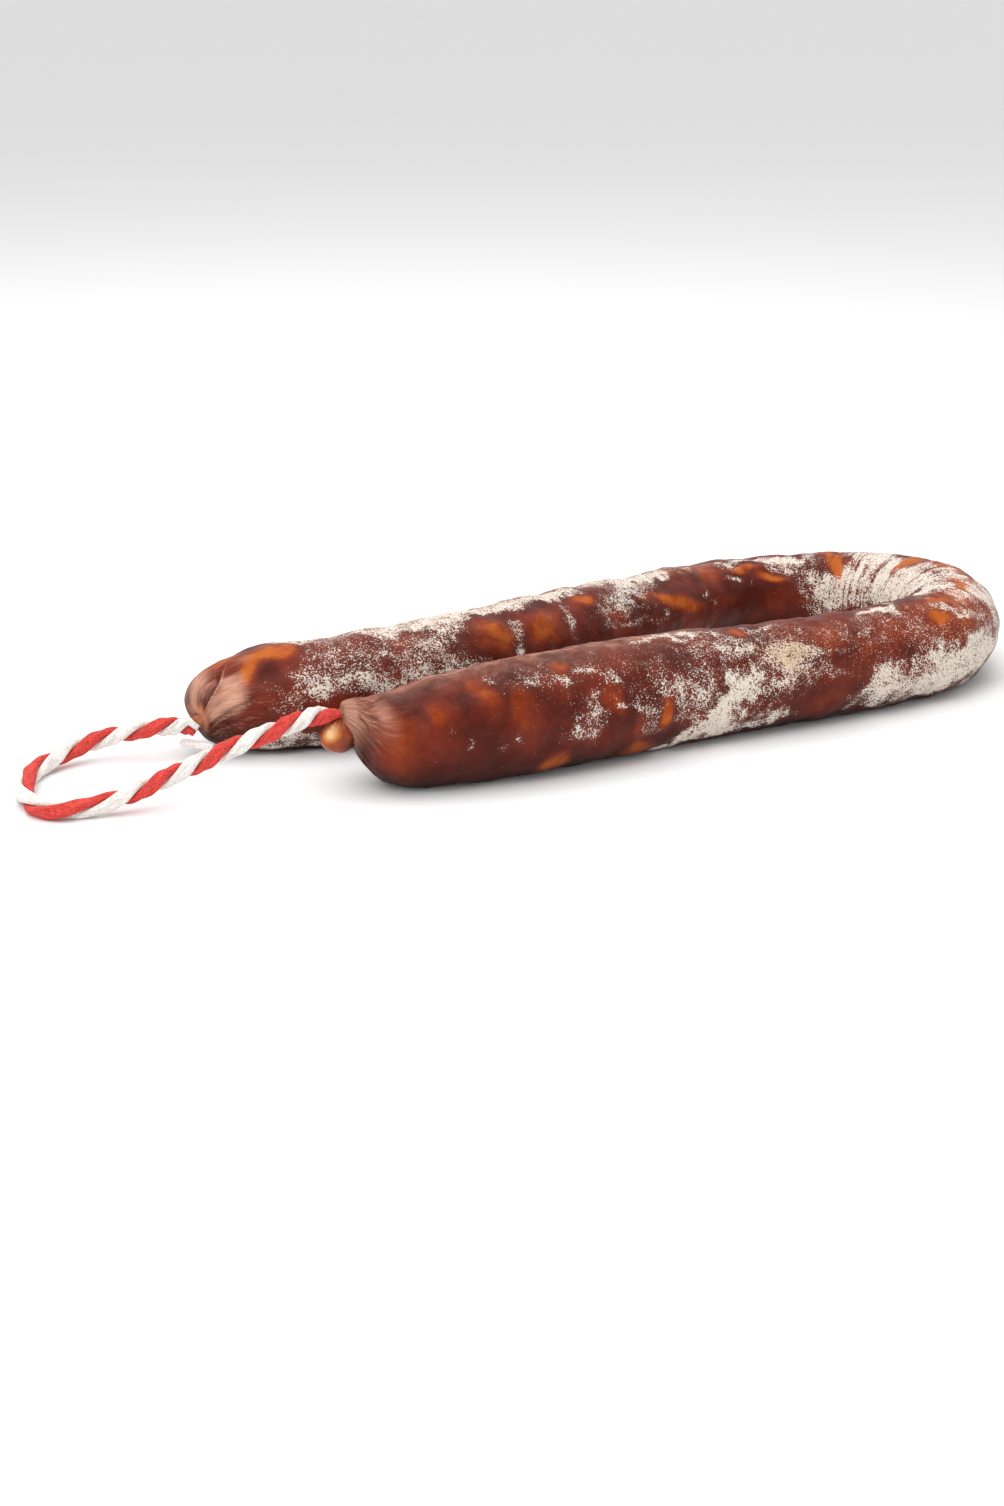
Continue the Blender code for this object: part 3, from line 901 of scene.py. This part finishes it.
def build_bulb():
    deselect()
    bpy.ops.mesh.primitive_uv_sphere_add(segments=96, ring_count=64, radius=1)
    bulb = bpy.context.object
    bulb.name = "end_bulb"
    mesh = bulb.data
    unit = read_points(mesh)
    place = unit * np.array(BULB_RADII) + np.array(BULB_CENTRE)
    turn = np.degrees(np.arctan2(unit[:, 1], unit[:, 0]))
    height = np.zeros(len(unit))
    for (size, tall), seed in ((BULB_LUMPS, 4), (BULB_WRINKLES, 5)):
        height += tall * lumps(place, size, seed)
    pleats = smoothstep(0.1, 0.95, unit[:, 2])
    height += pleats * BULB_PLEAT_DEPTH * np.sin(np.radians(turn * BULB_PLEATS))
    place += unit * height[:, None]
    drawn = smoothstep(0.15, 1.1, unit[:, 2])[:, None]
    place += drawn * BULB_DRAWN * (np.array(NEAR_CAP["neck"]) - place)
    place[:, 0] += BULB_LEAN * smoothstep(-0.6, 1, unit[:, 0]) * smoothstep(-0.8, 0.8, unit[:, 2])
    write_points(mesh, place * MM)
    # Painted highlight on the bulb's upper left.
    write_attribute(mesh, "painted_shine", smoothstep(0.74, 1.0, unit @ np.array(BULB_LIT_SIDE)))
    write_attribute(mesh, "pleats", pleats)
    # Painted shade on the bulb's right side.
    write_attribute(mesh, "painted_shade", smoothstep(-0.1, 0.85, unit @ np.array(BULB_SHADED_SIDE)))
    write_attribute(mesh, "low", smoothstep(-0.1, 0.8, -unit[:, 2]))
    write_attribute(mesh, "skin", smoothstep(0.1, 0.7, unit @ np.array(BULB_SKIN_SIDE)))
    mesh.shade_smooth()
    mesh.materials.append(bulb_finish())
    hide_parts("sausage")
    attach(bulb, "root")


def bulb_finish():
    paint = Paint("bulb_skin")
    mottle = paint.noise(260, 3)
    tallow = paint.mix(mottle.step(0.3, 0.7), BULB_RED, BULB_AMBER)
    tallow = paint.mix(paint.attribute("low") * 0.8, tallow, BULB_RED)
    # Painted highlight: broad, then brightest in its middle.
    painted_shine = paint.attribute("painted_shine") * (0.55 + mottle * 0.6)
    base = paint.mix(painted_shine.step(0.0, 0.7) * 0.8, tallow, BULB_PAINTED_HIGHLIGHT)
    base = paint.mix(painted_shine.step(0.65, 1.0) * 0.8, base, BULB_SHINE)
    base = paint.mix(paint.attribute("skin") * 0.85, base, BULB_RED)
    # Painted shade on the bulb's side away from the light.
    base = paint.mix(paint.attribute("painted_shade") * 0.85, base, MEAT_PAINTED_SHADE)
    ridges = paint.noise(900, 2)
    base = paint.mix(paint.attribute("pleats") * ridges.step(0.4, 0.65) * 0.6, base, MEAT_LIGHT)
    normal = paint.bump(mottle, 0.4, 0.0008)
    paint.shader(base, 0.3, paint.bump(ridges, 0.25, 0.0003, normal), Specular_IOR_Level=0.3)
    return paint.material


# ---------------------------------------------------------------------------------------------
# The twine.
# ---------------------------------------------------------------------------------------------

def route_length(points):
    return sum((b - a).length for a, b in zip(points, points[1:]))


def smooth_route(route, step):
    """Points about a step apart on a smooth curve through a route's points."""
    points = [Vector(point) for point in route]
    count = round(route_length(points) / step)
    tracks = [[point[axis] for point in points] for axis in range(3)]
    return [Vector([through(track, k / count) for track in tracks]) for k in range(count + 1)]


def route_frames(points):
    """A side and an up direction at each point, turned as little as can be from one to the next."""
    frames = []
    side = None
    for k in range(len(points)):
        ahead = (points[min(k + 1, len(points) - 1)] - points[max(k - 1, 0)]).normalized()
        if side is None:
            side = ahead.cross(Vector((0, 0, 1))).normalized()
        side = (side - ahead * side.dot(ahead)).normalized()
        frames.append((side, side.cross(ahead)))
    return frames


def strand_outline(k):
    """A strand's section in parts of the twine's diameter: a full D with round corners."""
    turn = 2 * pi * k / STRAND_SIDES
    ridge = 1 + FILAMENT_RIDGE * abs(sin(FILAMENTS * turn / 2))
    outwards = abs(cos(turn)) ** STRAND_CORNERS * (1 if cos(turn) > 0 else -1)
    sideways = abs(sin(turn)) ** STRAND_CORNERS * (1 if sin(turn) > 0 else -1)
    half_out, half_side = STRAND_HALF
    return Vector((STRAND_OFF + half_out * outwards * ridge, half_side * sideways * ridge))


def laid(run):
    """How many turns the strands have made about each other after so many mm of twine."""
    return float(np.interp(run, [stop[0] for stop in LAY], [stop[1] for stop in LAY]))


def drawn_in(run, total):
    """How thick the twine still is near its two ties, where the pleats close over it."""
    near_part = min(max(run + ROOT_DEPTH, 0) / NEAR_TAPER, 1)
    far_part = min((total - run) / FAR_TAPER, 1)
    near = NEAR_THICK + (1 - NEAR_THICK) * near_part ** 0.7
    far = FAR_THICK + (1 - FAR_THICK) * far_part ** 0.8
    return min(near, far)


def build_strand(name, start_turn, finish):
    """One strand of the twine, a closed tube wound about the route and tucked in at both ties."""
    points = smooth_route(TWINE_ROUTE, STRAND_STEP)
    points = [points[0].lerp(NEAR_ROOT, part) for part in ROOT_PARTS] + points
    points += [points[-1].lerp(TUCK, part) for part in TUCK_PARTS]
    run = -(points[len(ROOT_PARTS)] - points[0]).length
    total = route_length(points)
    places, yarns = [], []
    before = points[0]
    for point, (across, up) in zip(points, route_frames(points)):
        run += (point - before).length
        before = point
        turn = 2 * pi * (laid(run) + start_turn)
        out = across * cos(turn) + up * sin(turn)
        beside = up * cos(turn) - across * sin(turn)
        thick = TWINE_DIAMETER * drawn_in(run, total)
        for k in range(STRAND_SIDES):
            spot = strand_outline(k) * thick
            places.append(point + out * spot.x + beside * spot.y)
            yarn = 2 * pi * k / STRAND_SIDES + radians(YARN_TWIST) * run
            yarns.append((cos(yarn), sin(yarn), YARN_PITCH * run))
    return roll_tube(name, places, yarns, finish)


def roll_tube(name, places, yarns, finish):
    """A closed tube through rings of places in mm, with its yarn's place for the finish."""
    tube, ring, side = rolled_sheet(name, len(places) // STRAND_SIDES - 1, STRAND_SIDES)
    mesh = tube.data
    chosen = ring * STRAND_SIDES + side
    places = np.array(places)[chosen]
    places[:, 2] = np.maximum(places[:, 2], FLOOR_GAP)
    write_points(mesh, places * MM)
    write_vectors(mesh, "yarn", np.array(yarns)[chosen])
    close_skin()
    mesh.shade_smooth()
    mesh.materials.append(finish)
    return tube


def cotton_finish(name, colour, shade):
    paint = Paint(name)
    lines = paint.noise(7, 2, 0.6, at=paint.attribute("yarn", "Vector"))
    fibre = paint.noise(1500, 2)
    base = paint.mix(lines.step(0.3, 0.55), shade, colour)
    base = paint.mix(fibre.step(0.3, 0.5), shade, base)
    normal = paint.bump(lines, 0.8, 0.0005)
    paint.shader(base, 0.85, paint.bump(fibre, 0.3, 0.0002, normal))
    return paint.material


def build_tail(finish):
    """The cut end of the twine: a soft round stub whose yarns flare a little at the cut."""
    points = smooth_route(TAIL_ROUTE, TAIL_STEP)
    places, yarns = [], []
    for k, (across, up) in enumerate(route_frames(points)):
        cut = 1 - k / (len(points) - 1)
        flare = TAIL_THICK + (1 - TAIL_THICK) * cut - TAIL_ROUND * max(cut - 0.9, 0) / 0.1
        for n in range(STRAND_SIDES):
            turn = 2 * pi * n / STRAND_SIDES
            yarn = turn + TAIL_TWIST * cut
            groove = 1 - TAIL_GROOVE_DEPTH * (1 - cos(TAIL_GROOVES * yarn))
            thick = 0.5 * TAIL_DIAMETER * flare * groove
            places.append(points[k] + (across * cos(turn) + up * sin(turn)) * thick)
            yarns.append((cos(yarn), sin(yarn), 0.3 * cut))
    tail = roll_tube("twine_cut_tail", places, yarns, finish)
    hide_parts("twine_tail")
    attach(tail, "root")
    return tail


def build_twine():
    red = cotton_finish("red_cotton", srgb(226, 72, 62), srgb(176, 40, 34))
    white = cotton_finish("white_cotton", srgb(246, 243, 238), srgb(214, 206, 198))
    strands = build_strand("twine_strands", 0, red)
    other = build_strand("twine_white", 0.5, white)
    deselect()
    strands.select_set(True)
    other.select_set(True)
    bpy.context.view_layer.objects.active = strands
    bpy.ops.object.join()
    tail = build_tail(white)
    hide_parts("twine")
    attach(strands, "root")
    points = smooth_route(TWINE_ROUTE, STRAND_STEP)
    route_length(points) * MM


# ---------------------------------------------------------------------------------------------
# The scene.
# ---------------------------------------------------------------------------------------------

set_camera()
set_light()
lay_floor()
build_casing()
build_bulb()
build_twine()
